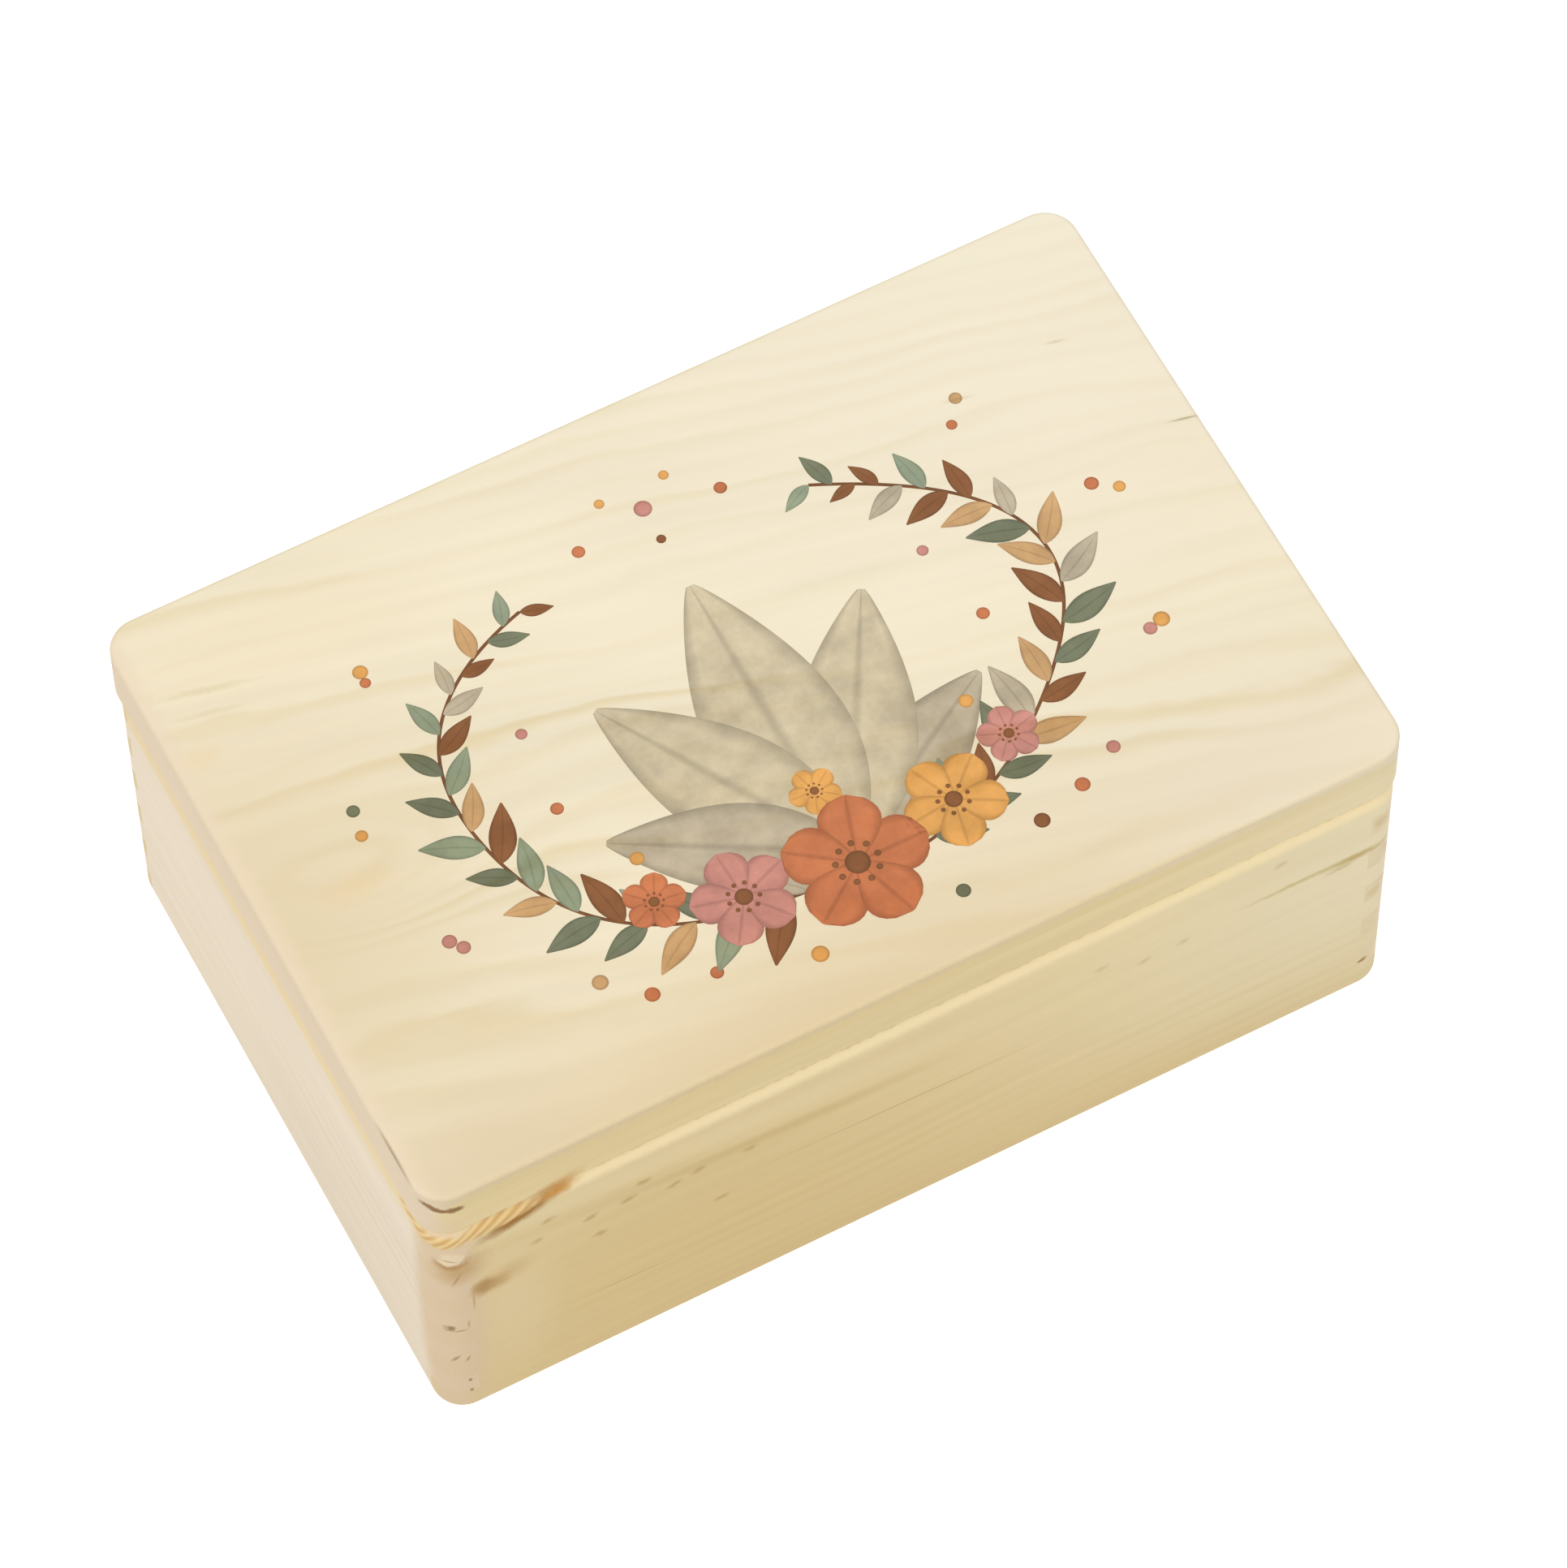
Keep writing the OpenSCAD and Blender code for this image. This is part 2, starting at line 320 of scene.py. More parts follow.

# %% [markdown]
# Marks in the wood
#
# A real board has resin pockets, bruises and paler parts, each in its own place. One
# kind of mark serves for all, and for the light and shade painted into the wood too: an
# egg-shaped spot in the solid wood, tinted most inside its core and fading to its rim. A
# little noise in their position makes their outlines ragged, apart from fine lines, which
# are thinner than that noise.


# %% Egg-shaped marks
# Tilt is about Y and turn about Z, in degrees.
Mark = namedtuple("Mark", "middle half_sizes colour strength core tilt turn", defaults=(0, 0, 0))
FINE = 1  # a mark with a half-size below this many millimetres is a fine line
RAGGED_SCALE, RAGGED_REACH = 0.35, (4, 2, 2)


def add_mark(tree, wood, place, mark, colour):
    """Tints the wood inside one mark."""
    # A Mapping node of the Texture type turns the spot into a ball of radius one.
    turned = tuple(math.radians(angle) for angle in (0, mark.tilt, mark.turn))
    ball = {"Vector": place, "Location": mark.middle, "Rotation": turned, "Scale": mark.half_sizes}
    ball = add(tree, "ShaderNodeMapping", ball, vector_type="TEXTURE")
    reach = add(tree, "ShaderNodeVectorMath", (ball,), operation="LENGTH").outputs["Value"]
    share = (reach, mark.core, 1.0, mark.strength, 0.0)
    share = add(tree, "ShaderNodeMapRange", share, interpolation_type="SMOOTHSTEP")
    return add(tree, "ShaderNodeMix", {0: share, 6: wood, 7: colour}, data_type="RGBA").outputs[2]


def add_marks(tree, wood, mm, marks):
    """Tints the wood inside all its marks, one over the other."""
    noise = add(tree, "ShaderNodeTexNoise", {"Vector": mm, "Scale": RAGGED_SCALE, "Detail": 3.0}).outputs["Color"]
    noise = add(tree, "ShaderNodeVectorMath", (noise, (0.5, 0.5, 0.5)), operation="SUBTRACT")
    ragged = add(tree, "ShaderNodeVectorMath", (noise, RAGGED_REACH, mm), operation="MULTIPLY_ADD")
    marks = [Mark(*row) for row in marks]
    strands = make_strands(tree, mm) if any(mark.colour == STRANDS for mark in marks) else None
    for mark in marks:
        colour = strands if mark.colour == STRANDS else paint(mark.colour)
        wood = add_mark(tree, wood, mm if min(mark.half_sizes) < FINE else ragged, mark, colour)
    return wood


# %% [markdown]
# Torn fibres at the corner
#
# At the front left corner the sander has rolled torn fibres into a cord along the edge.
# Its slanting strands are the bands of a Wave texture on X minus Y, which grows along
# the front and goes on growing round the corner, so the cord turns it unbroken.

# %% Strands
STRANDS = "strands"  # the colour of a mark that shows them
STRAND_SPACING, STRAND_SLOPE = 5, -1.3
STRAND_DARK, STRAND_PALE = "#DBB070", "#F2D79C"
WAVE_SPACING = 0.314  # a Wave texture's bands lie this far apart at scale one


def make_strands(tree, mm):
    """The colour of slanting strands, amber on brown."""
    split = add(tree, "ShaderNodeSeparateXYZ", (mm,)).outputs
    run = add(tree, "ShaderNodeMath", (split["X"], split["Y"]), operation="SUBTRACT")
    slant = add(tree, "ShaderNodeMath", (split["Z"], STRAND_SLOPE, run), operation="MULTIPLY_ADD")
    place = add(tree, "ShaderNodeCombineXYZ", {"X": slant})
    look = {"Scale": WAVE_SPACING / STRAND_SPACING, "Distortion": 4.5, "Detail": 3.0, "Detail Scale": 0.7}
    bands = add(tree, "ShaderNodeTexWave", {"Vector": place, **look}).outputs["Fac"]
    colours = {6: paint(STRAND_DARK), 7: paint(STRAND_PALE)}
    return add(tree, "ShaderNodeMix", {0: bands, **colours}, data_type="RGBA").outputs[2]


print("strands", STRAND_SPACING, "mm apart")

# %% [markdown]
# Bare, sanded pine
#
# The boards are planed and sanded but not oiled or varnished, so they scatter light
# almost evenly: high roughness, a weak sheen from the fibres and no coat. The early
# wood is cream, the late wood is honey, and end grain drinks light, so it is darker
# and a little pink. A board that wasn't sawn straight along its trunk has its grain
# askew to its edges.


# %% What one board needs to know
# Pith and eddy are places in millimetres from the piece's middle, the first across the grain.
# An eddy far outside the piece is none. Skew is in degrees.
Board = namedtuple(
    "Board", "piece grain pith ring_width wander seed early late end_grain marks eddy skew",
    defaults=((), (900, 0, 0), 0),
)


def lay_figure(tree, mm, board):
    """The pine figure, laid along the board's grain with the piece's middle at zero."""
    inside = add(tree, "ShaderNodeVectorMath", (mm, box_mm(board.piece)[2]), operation="SUBTRACT")
    turn = math.radians(board.skew - (90 if board.grain == "Y" else 0))
    along = add(tree, "ShaderNodeVectorRotate", {"Vector": inside, "Angle": turn}, rotation_type="Z_AXIS")
    own = (along, (0, *board.pith), board.ring_width, board.wander, board.seed, board.eddy)
    return add(tree, "ShaderNodeGroup", own, node_tree=pine_figure).outputs


# %% The colour of the wood
# How much the fibres, streaks and tone darken or lighten it, where their noise is low and high.
NOISE = (0.3, 0.7)
GAINS = {"Fibres": (0.986, 1.011), "Streaks": (0.974, 1.026), "Tone": (0.965, 1.035)}
END_GRAIN_FACING, END_GRAIN_SHARE = (0.75, 0.98), 0.55


def colour_wood(tree, figure, normal, board):
    """Early and late wood, uneven in tone, with end grain where the surface faces along the grain."""
    rings = {0: figure["Latewood"], 6: paint(board.early), 7: paint(board.late)}
    wood = add(tree, "ShaderNodeMix", rings, data_type="RGBA").outputs[2]
    for output, gains in GAINS.items():
        gain = add(tree, "ShaderNodeMapRange", (figure[output], *NOISE, *gains))
        wood = add(tree, "ShaderNodeVectorMath", {0: wood, "Scale": gain}, operation="SCALE")
    axis = (1, 0, 0) if board.grain == "X" else (0, 1, 0)
    facing = add(tree, "ShaderNodeVectorMath", (normal, axis), operation="DOT_PRODUCT").outputs["Value"]
    facing = add(tree, "ShaderNodeMath", (facing,), operation="ABSOLUTE")
    ends = (facing, *END_GRAIN_FACING, 0.0, END_GRAIN_SHARE)
    ends = add(tree, "ShaderNodeMapRange", ends, interpolation_type="SMOOTHSTEP")
    return add(tree, "ShaderNodeMix", {0: ends, 6: wood, 7: paint(board.end_grain)}, data_type="RGBA").outputs[2]


# %% The whole material
ROUGHNESS = (0.62, 0.78)
GRAIN_DEPTH = 0.06 * MM


def make_pine(name, board, over=None):
    """Sanded pine for one board. A function given as over may colour the finished wood, as an ink does."""
    material, tree = blank_material(name)
    where = add(tree, "ShaderNodeTexCoord").outputs
    mm = add(tree, "ShaderNodeVectorMath", {0: where["Object"], "Scale": 1 / MM}, operation="SCALE")
    figure = lay_figure(tree, mm, board)
    wood = colour_wood(tree, figure, where["Normal"], board)
    wood = add_marks(tree, wood, mm, board.marks)
    if over:
        wood = over(tree, wood, mm)
    height = add(tree, "ShaderNodeMath", (figure["Fibres"], 0.7, figure["Latewood"]), operation="MULTIPLY_ADD")
    bump = add(tree, "ShaderNodeBump", {"Height": height, "Strength": 0.25, "Distance": GRAIN_DEPTH})
    dull = add(tree, "ShaderNodeMapRange", (figure["Fibres"], 0.0, 1.0, *ROUGHNESS))
    look = {"Base Color": wood, "Roughness": dull, "IOR": 1.45, "Specular IOR Level": 0.3, "Normal": bump}
    add(tree, "ShaderNodeOutputMaterial", {"Surface": add(tree, "ShaderNodeBsdfPrincipled", look)})
    return material


def dress(piece, material):
    """Puts a new material in the slots of a CAD piece."""
    for slot in nodes[piece].material_slots:
        slot.material = material


# %% [markdown]
# The marks at the front left corner
#
# This corner shows end grain bruised by the sander, a small knot, the cord of torn
# fibres, and dark ticks where the fingers of the joint end. The front and the left
# board share its marks, because a mark is a solid spot that both may cut.

# %% Corner marks
# Each mark: its middle, half-sizes, colour and strength, and then its core, tilt and turn if any.
FINGERS_END = (
    ((-142.6, -98, 79.0), (0.9, 3, 5.5), "#B08A58", 0.7, 0.0, 20),
    ((-138.3, -99, 63), (0.6, 3, 8.0), "#BE9A66", 0.7),
    ((-145.2, -97.5, 49.4), (1.6, 4, 2.4), "#8E6A3E", 0.85, 0.1),
    ((-142.8, -98.6, 47.7), (2.9, 4, 0.6), "#A07A4A", 0.75, 0.1),
    ((-140.4, -99, 50.5), (0.6, 3, 3.2), "#B8945E", 0.6, 0.1),
    ((-144.6, -97.7, 30.7), (0.9, 3, 3.4), "#A47C4C", 0.8, 0.0, 30),
    ((-141.5, -98.9, 29.8), (1.1, 3, 2.4), "#A47C4C", 0.8, 0.0, 15),
    ((-141.4, -98.9, 16.3), (0.9, 2, 1.3), "#96682E", 0.85, 0.1),
    ((-141.2, -98.9, 9.9), (0.9, 2, 1.3), "#96682E", 0.85, 0.1),
)
CORNER_MARKS = (
    ((-147, -96, 54), (17, 14, 100), "#E4CEAE", 0.92, 0.42),
    ((-141, -97, 84), (11, 9, 12), "#C39C62", 0.75, 0, 12),
    ((-129, -99, 70), (14, 4, 8), "#CBA86C", 0.5, 0, -14),
    ((-135.2, -99, 68.8), (5.6, 4, 6.6), "#B58C52", 0.85, 0.2),
    ((-130.6, -99, 68.0), (5.4, 4, 5.2), "#C39E66", 0.6, 0.1),
    ((-143.6, -97.4, 89.0), (5.8, 6, 5.6), "#B48A54", 0.8, 0.4, 12),
    ((-143.4, -97.4, 91.0), (4.6, 6, 4.4), "#F0DDBE", 1.0, 0.6, 14),
    ((-144.2, -98, 90.4), (3.6, 6, 0.6), "#B8925E", 0.7, 0.1, 24),
    *FINGERS_END,
    ((-149.5, -88, 101.2), (4, 12, 3.6), STRANDS, 0.9, 0.5),
    ((-144.5, -96.5, 100.6), (7, 7, 3.6), STRANDS, 0.95, 0.55),
    ((-130, -99, 102.2), (15, 5, 3.9), STRANDS, 0.95, 0.6, -5),
)
print("marks at the corner:", len(CORNER_MARKS))

# %% [markdown]
# The marks on the front
#
# The front board is warmest at its lower left and palest at its right, partly its own
# tone and partly painted light. Its rounded upper edge carries a painted highlight where
# it faces the light, and a painted shadow along its top, where the lid overhangs it.
# Resin shows as a few streaks, a painted shadow lies under the cord of torn fibres, and
# darker flecks lie in two groups.

# %% Front marks
# Paler towards the right: partly the wood's own tone, partly painted light.
PALE_RIGHT_TONE_AND_LIGHT = ((190, -99, 70), (170, 40, 100), "#F4EACE", 0.85)
WARM_LEFT = (
    ((-80, -99, 45), (210, 40, 110), "#DFC286", 0.62),
    ((30, -99, -12), (320, 40, 62), "#DEC48C", 0.6),
)
SEAM_TONES_AND_PAINTED_LIGHT = (
    ((-60, -99, 91), (120, 4, 8), "#F2E3BA", 0.45, 0.2, 3),
    ((-52, -99, 79.0), (80, 4, 4.6), "#CDB074", 0.5, 0, 4.8),
    # Painted highlight on the rounded upper edge, where it faces the light.
    ((0, -96, 103.2), (420, 6, 5.4), "#FBEABF", 0.85, 0.45),
    # Painted shadow along the top of that edge, under the lid's overhang.
    ((0, -95, 107.0), (420, 6, 3.2), "#DECA9C", 0.9, 0.75),
)
RESIN_AND_PAINTED_CORD_SHADOW = (
    ((135, -99, 78.8), (17, 6, 2.7), "#BFA760", 0.85),
    ((117, -99, 79.4), (24, 6, 1.8), "#CDB878", 0.75),
    ((130, -99, 76.0), (7, 6, 1.8), "#BCA364", 0.5, 0, -6),
    ((-6, -99, 59.8), (60, 4, 0.7), "#B9985C", 0.45, 0, 2.4),
    ((-92, -99, 33.0), (22, 4, 0.7), "#B9985C", 0.45, 0, 3.0),
    # Painted shadow under the cord of torn fibres.
    ((-123, -99, 99.8), (19, 9, 4.8), "#A47434", 1.0, 0.15, -20),
    ((-111, -99, 104.0), (10, 4, 4.0), "#CC9444", 1.0, 0.1, -12),
)

# %% Flecks, and all that lies on the front board
# Each group: how strong its flecks are, and their places, as X and Z.
FLECKS = (
    (0.75, ((-102.4, 79.5), (-99.6, 67.7), (-91.0, 79.6), (-77.0, 75.5), (-62.6, 54.8), (-54.0, 75.8),
            (-114.8, 89.4), (-69.6, 77.6), (-85.9, 85.6), (-118.7, 80.4))),
    (0.4, ((68.4, 76.2), (80.2, 76.8), (54.6, 83.3), (110.3, 94.7))),
)
FLECK_HALF_SIZES, FLECK_TILT = (3.4, 3, 2.1), -8
fleck_marks = tuple(
    ((x, -99, z), FLECK_HALF_SIZES, "#C4A66A", strength, 0, FLECK_TILT)
    for strength, places in FLECKS for x, z in places
)
BESIDE_THE_CORNER = ((-126, -99, 46), (17, 4, 46), "#EBD9B0", 0.55, 0.2)
FRONT_MARKS = (
    *WARM_LEFT, PALE_RIGHT_TONE_AND_LIGHT, *SEAM_TONES_AND_PAINTED_LIGHT, *RESIN_AND_PAINTED_CORD_SHADOW, *fleck_marks, BESIDE_THE_CORNER, *CORNER_MARKS,
)
print("marks on the front board:", len(FRONT_MARKS))

# %% [markdown]
# The marks on the ends and on the lid
#
# Along the seam the left end and the lid's left rail carry a painted amber glow: the
# shade and bounce light under the lid's edge. At the right end the fingers of the joint
# show as faint squares. The lid's panel is palest at its back right, partly its own tone
# and partly painted light, and darker at the front, partly painted shade. Its rounded
# front and back edges carry warm tints, painted light that evens out their shading, and
# it has dark lines at its near left corner. Its grain runs off its long edge by the
# skew, and so do its fine marks.

# %% Marks on the ends and the rails
LEFT_MARKS = (
    # Painted amber glow along the seam: shade and bounce light under the lid's edge.
    ((-149, 0, 100.6), (4, 400, 9.4), "#F2DCA8", 0.75, 0.25),
    ((-148, 0, 103.8), (4, 400, 2.4), "#F0C98A", 0.7, 0.1),
    *CORNER_MARKS,
)
RIGHT_MARKS = (
    ((140.1, -98.9, 13.3), (2.8, 3, 1.5), "#A87E46", 0.95, 0.2, -20),
    ((138.0, -98.9, 8.1), (1.8, 3, 1.2), "#B08A54", 0.7, 0.2),
    ((143.2, -98.9, 79.5), (1.6, 3, 1.4), "#A6884E", 0.6, 0.3),
    ((142.5, -98.9, 91.8), (3.6, 4, 3.6), "#D2B988", 0.4, 0.4),
    ((142.5, -98.9, 52.0), (3.6, 4, 3.6), "#D8C090", 0.4, 0.4),
)
LID_CORNER_MARKS = (
    ((-154, 0, 118), (11, 600, 70), "#EBD9C0", 0.8, 0.4),
    ((-147.2, -95.2, 122.4), (4.0, 7, 1.2), "#9A7850", 1.0, 0.35, 38),
    ((-144.9, -97.5, 120.9), (3.6, 5, 1.7), "#96744C", 1.0, 0.35, 12),
    ((-142.0, -98.9, 120.5), (4.2, 5, 1.9), "#96744C", 1.0, 0.35),
)
RAIL_MARKS = (
    ((-113, -99, 107.8), (13, 5, 4.4), "#C68A3C", 1.0, 0.1, -16),
    ((-147, -97, 111), (10, 9, 9.0), "#E8D2B6", 0.7, 0.3),
    ((-95, -99, 115), (95, 6, 14), "#EBD6A0", 0.6, 0.1),
    PALE_RIGHT_TONE_AND_LIGHT,
    ((25, -99, 113), (80, 6, 9), "#E2CE9C", 0.55),
    *LID_CORNER_MARKS,
)
# Painted amber glow along the seam, on the lid's left rail.
LEFT_RAIL_SEAM_PAINTED_LIGHT = ((-150, 0, 107.2), (4, 400, 3.8), "#F0DAA8", 0.75, 0.2)
print("marks on a rail:", len(RAIL_MARKS))

# %% Marks on the lid's panel
SKEW = 12.5
TOP_MARKS = (
    # Palest at the back right: partly the wood's own tone, partly painted light.
    ((170, 120, 128), (330, 230, 60), "#F4EDDA", 0.75),
    # Darker at the front: partly the wood's own tone, partly painted shade.
    ((-45, -120, 128), (230, 80, 60), "#DBC49A", 0.91),
    ((-160, -10, 128), (110, 100, 60), "#E0CFAB", 0.85),
    ((120, -88, 128), (75, 30, 30), "#E8DBC6", 0.6),
    ((-130, -92, 128), (48, 26, 30), "#DAC8A8", 0.42, 0.1),
    ((-105, 78, 128), (62, 20, 30), "#F0E3C4", 0.45, 0.3, 0, -SKEW),
    # Warm tints on the panel's rounded front and back edges: painted light that evens out their shading.
    ((0, -103, 121.5), (900, 5.4, 6.8), "#E9D6A0", 0.8, 0.75),
    ((0, -102, 128.5), (900, 4.8, 5), "#EEDDB0", 0.7, 0.3),
    ((0, 105, 122), (900, 7, 20), "#E9DAAE", 0.7, 0.3),
    PALE_RIGHT_TONE_AND_LIGHT,
    ((126.3, 60.2, 128), (4.5, 0.8, 3), "#CDB88A", 0.5, 0, 0, -SKEW),
    ((93.4, 56.4, 128), (6.5, 0.9, 3), "#CDB88A", 0.45, 0, 0, -SKEW),
    ((146, 21.3, 128), (7, 0.6, 3), "#A89468", 0.7, 0.1, 0, -SKEW),
    ((-142.7, 52.3, 128), (10, 6, 4), "#EFCF9E", 0.3),
    ((-122, -3, 128), (17, 7, 4), "#EBC890", 0.24),
    ((-132, 71, 128), (20, 1.8, 3), "#CFC08C", 0.4, 0, 0, -SKEW),
    ((-134, 64, 128), (16, 1.4, 3), "#CFC08C", 0.3, 0, 0, -SKEW),
    *LID_CORNER_MARKS,
    ((-149.8, -80, 127.3), (1.2, 14, 0.9), "#A08C70", 0.7, 0.2),
)
print("marks on the lid's panel:", len(TOP_MARKS))

# %% [markdown]
# Which way each board lies
#
# The long boards and the lid's panel have their grain along the box, the short boards
# across it. The front board is nearly quarter sawn, so it shows fine straight lines,
# and the lid's panel is flat sawn, so it shows wide waves.

# %% Boards and lid in pine
LID_PANEL = Board(
    "lid_top_panel", "X", (-190, -260), 5.2, 14.0, 6.3, "#F0E5CB", "#E6D6B0", "#F0E2C6", TOP_MARKS,
    eddy=(-121, -29, 4), skew=SKEW,
)
BOARDS = (
    Board("front_board", "X", (95, 60), 4.0, 5.0, 1.7, "#EEDFB6", "#E6D3A2", "#E6D3A4", FRONT_MARKS),
    Board("back_board", "X", (-80, 40), 3.8, 6.0, 8.1, "#EFDFBC", "#E5D2A4", "#E2CE9E"),
    Board("left_board", "Y", (60, 55), 5.0, 9.0, 4.4, "#F4E7D3", "#F0E3CC", "#E6D2A8", LEFT_MARKS),
    Board("right_board", "Y", (-70, 50), 4.2, 8.0, 5.9, "#F2E3C8", "#E9D8B8", "#E8D8AC", RIGHT_MARKS),
    Board("bottom_panel", "X", (30, -160), 5.0, 14.0, 2.6, "#F0E0BC", "#E3CFA4", "#DCC59C"),
    LID_PANEL,
    Board("lid_front_rail", "X", (70, 40), 2.8, 5.0, 3.2, "#EDDCB0", "#E8D6A6", "#E4D0A8", RAIL_MARKS),
    Board("lid_back_rail", "X", (60, 50), 2.8, 5.0, 7.7, "#F1E1BE", "#E6D2A6", "#E4D0A8"),
    Board("lid_left_rail", "Y", (50, 60), 2.8, 5.0, 9.4, "#F0E0C6", "#E7D4B2", "#E8D6B6",
          (LEFT_RAIL_SEAM_PAINTED_LIGHT, *RAIL_MARKS)),
    Board("lid_right_rail", "Y", (-50, 60), 2.8, 5.0, 0.9, "#F1E2C2", "#E6D4AE", "#E8D6B6"),
)
for board in BOARDS:
    wood = make_pine("sanded pine " + board.piece, board)
    dress(board.piece, wood)
    print(board.piece, "grain along", board.grain, "nodes", len(wood.node_tree.nodes))

# %% [markdown]
# Brass-plated hinges and yellow screws
#
# Cheap box hinges are stamped steel with a thin brass plating: bright, yellow and a
# little brushed. The small screws are zinc plated and yellow passivated. The lines of
# the brush break up the tone and the roughness of both.

# %% Hinge metal
BRUSH_STRETCH = 0.15
SMOOTHER, ROUGHER = 0.08, 0.12
BRUSH_DEPTH = 0.01 * MM


def make_metal(name, colour, dark, roughness, grit):
    """Plated metal with a brushed surface. Grit is how wide the brush lines are, in millimetres."""
    material, tree = blank_material(name)
    where = add(tree, "ShaderNodeTexCoord").outputs["Object"]
    mm = add(tree, "ShaderNodeVectorMath", {0: where, "Scale": 1 / MM}, operation="SCALE")
    brushed = add(tree, "ShaderNodeVectorMath", (mm, (BRUSH_STRETCH, 1, 1)), operation="MULTIPLY")
    lines = add(tree, "ShaderNodeTexNoise", {"Vector": brushed, "Scale": 1 / grit, "Detail": 3.0}).outputs["Fac"]
    tone = add(tree, "ShaderNodeMix", {0: lines, 6: paint(colour), 7: paint(dark)}, data_type="RGBA").outputs[2]
    gloss = add(tree, "ShaderNodeMapRange", (lines, 0.0, 1.0, roughness - SMOOTHER, roughness + ROUGHER))
    bump = add(tree, "ShaderNodeBump", {"Height": lines, "Strength": 0.2, "Distance": BRUSH_DEPTH})
    look = {"Base Color": tone, "Metallic": 1.0, "Roughness": gloss, "Normal": bump}
    add(tree, "ShaderNodeOutputMaterial", {"Surface": add(tree, "ShaderNodeBsdfPrincipled", look)})
    return material


brass = make_metal("brass plated steel, satin", "#E3C27A", "#C29E55", roughness=0.3, grit=0.25)
zinc = make_metal("yellow passivated zinc", "#D9CDA6", "#B5A678", roughness=0.35, grit=0.2)
HINGE_PARTS = {"box_leaf": brass, "lid_leaf": brass, "pin": brass, "box_screws": zinc, "lid_screws": zinc}
for side in ("left", "right"):
    for part, metal in HINGE_PARTS.items():
        dress(f"{side}_hinge_{part}", metal)
print("hinges dressed")

# %% [markdown]
# A printed wreath
#
# The lid is decorated with a wreath in the soft colours of watercolour: two garlands
# of leaves and a fan of broad ones, all rising from a few blossoms, and dots. Such a
# print is ink that has soaked into bare wood, so the grain shows through it. Here each
# motif is a plate only hundredths of a millimetre thick that lies on the lid. It wears
# the lid panel's own wood pattern, stained with its colour, so the grain runs on.

# %% The inks
INKS = ("#757A60", "#929C80", "#BBAE94", "#C9A06E", "#8A5A36", "#C8794F", "#C98B7E", "#E0A55A", "#CDBF9F")
BROWN = 4
BARE_WOOD = "#EDE2C6"


def ink_place(number):
    """An ink's place on the scale from zero to one by which a motif names its hue."""
    return (number + 0.5) / len(INKS)


def stain(hex_code):
    """How much of each colour an ink lets through, if it should look like this on the bare wood."""
    return tuple(min(1.0, c / w) for c, w in zip(paint(hex_code)[:3], paint(BARE_WOOD)[:3])) + (1,)


def make_ink_ramp(tree, hue):
    """All the inks side by side in one colour ramp, without a blend between them."""
    ramp = add(tree, "ShaderNodeValToRGB", {"Fac": hue})
    ramp.color_ramp.interpolation = "CONSTANT"
    stops = ramp.color_ramp.elements
    for number, ink in enumerate(INKS):
        stop = stops[0] if number == 0 else stops.new(number / len(INKS))
        stop.color = stain(ink)
    stops.remove(stops[-1])
    return ramp


print("inks:", len(INKS))

# %% [markdown]
# Ink that has soaked in
#
# Watercolour dries cloudy, and darkest at its rim, where the paint was carried. A
# leaf's midrib is a thin dark line. Each motif's points know how far across it they
# lie, from minus one to one, and that number is enough for both the rim and the rib.

# %% The printed wood
CLOUD_WIDTH, CLOUD_SHADES = 9, (0.84, 1.14)
RIM, RIM_SHADE = (0.7, 1.0), 0.68
RIB, RIB_SHADE = (0.02, 0.12), 0.78


def soak(tree, wood, mm):
    """Stains the wood with a motif's ink."""
    hue = add(tree, "ShaderNodeAttribute", attribute_name="hue").outputs["Fac"]
    across = add(tree, "ShaderNodeAttribute", attribute_name="across").outputs["Fac"]
    ramp = make_ink_ramp(tree, hue)
    wash = {"Vector": mm, "Scale": 1 / CLOUD_WIDTH, "Detail": 4.0, "Roughness": 0.6}
    wash = add(tree, "ShaderNodeTexNoise", wash).outputs["Fac"]
    cloud = add(tree, "ShaderNodeMapRange", (wash, *NOISE, *CLOUD_SHADES))
    reach = add(tree, "ShaderNodeMath", (across,), operation="ABSOLUTE")
    rim = add(tree, "ShaderNodeMapRange", (reach, *RIM, 1.0, RIM_SHADE))
    rib = add(tree, "ShaderNodeMapRange", (reach, *RIB, RIB_SHADE, 1.0))
    gain = add(tree, "ShaderNodeMath", (rim, rib), operation="MULTIPLY")
    gain = add(tree, "ShaderNodeMath", (gain, cloud), operation="MULTIPLY")
    ink = add(tree, "ShaderNodeVectorMath", {0: ramp, "Scale": gain}, operation="SCALE")
    return add(tree, "ShaderNodeVectorMath", (wood, ink), operation="MULTIPLY")


printed = make_pine("watercolour ink on sanded pine", LID_PANEL, over=soak)
print("nodes in the printed wood:", len(printed.node_tree.nodes))

# %% [markdown]
# Motifs from Geometry Nodes
#
# A wreath is a few motifs repeated, which is what Geometry Nodes are for. Each tree has
# named inputs for its sizes, and runs on a host: a mesh of bare lines or points that
# says where the motifs go. Only the result is kept, as a plain mesh.

# %% Helpers for the trees
LID_TOP = box_mm("lid_top_panel")[1].z * MM
SOCKETS = {int: "NodeSocketInt", float: "NodeSocketFloat", bpy.types.Material: "NodeSocketMaterial"}


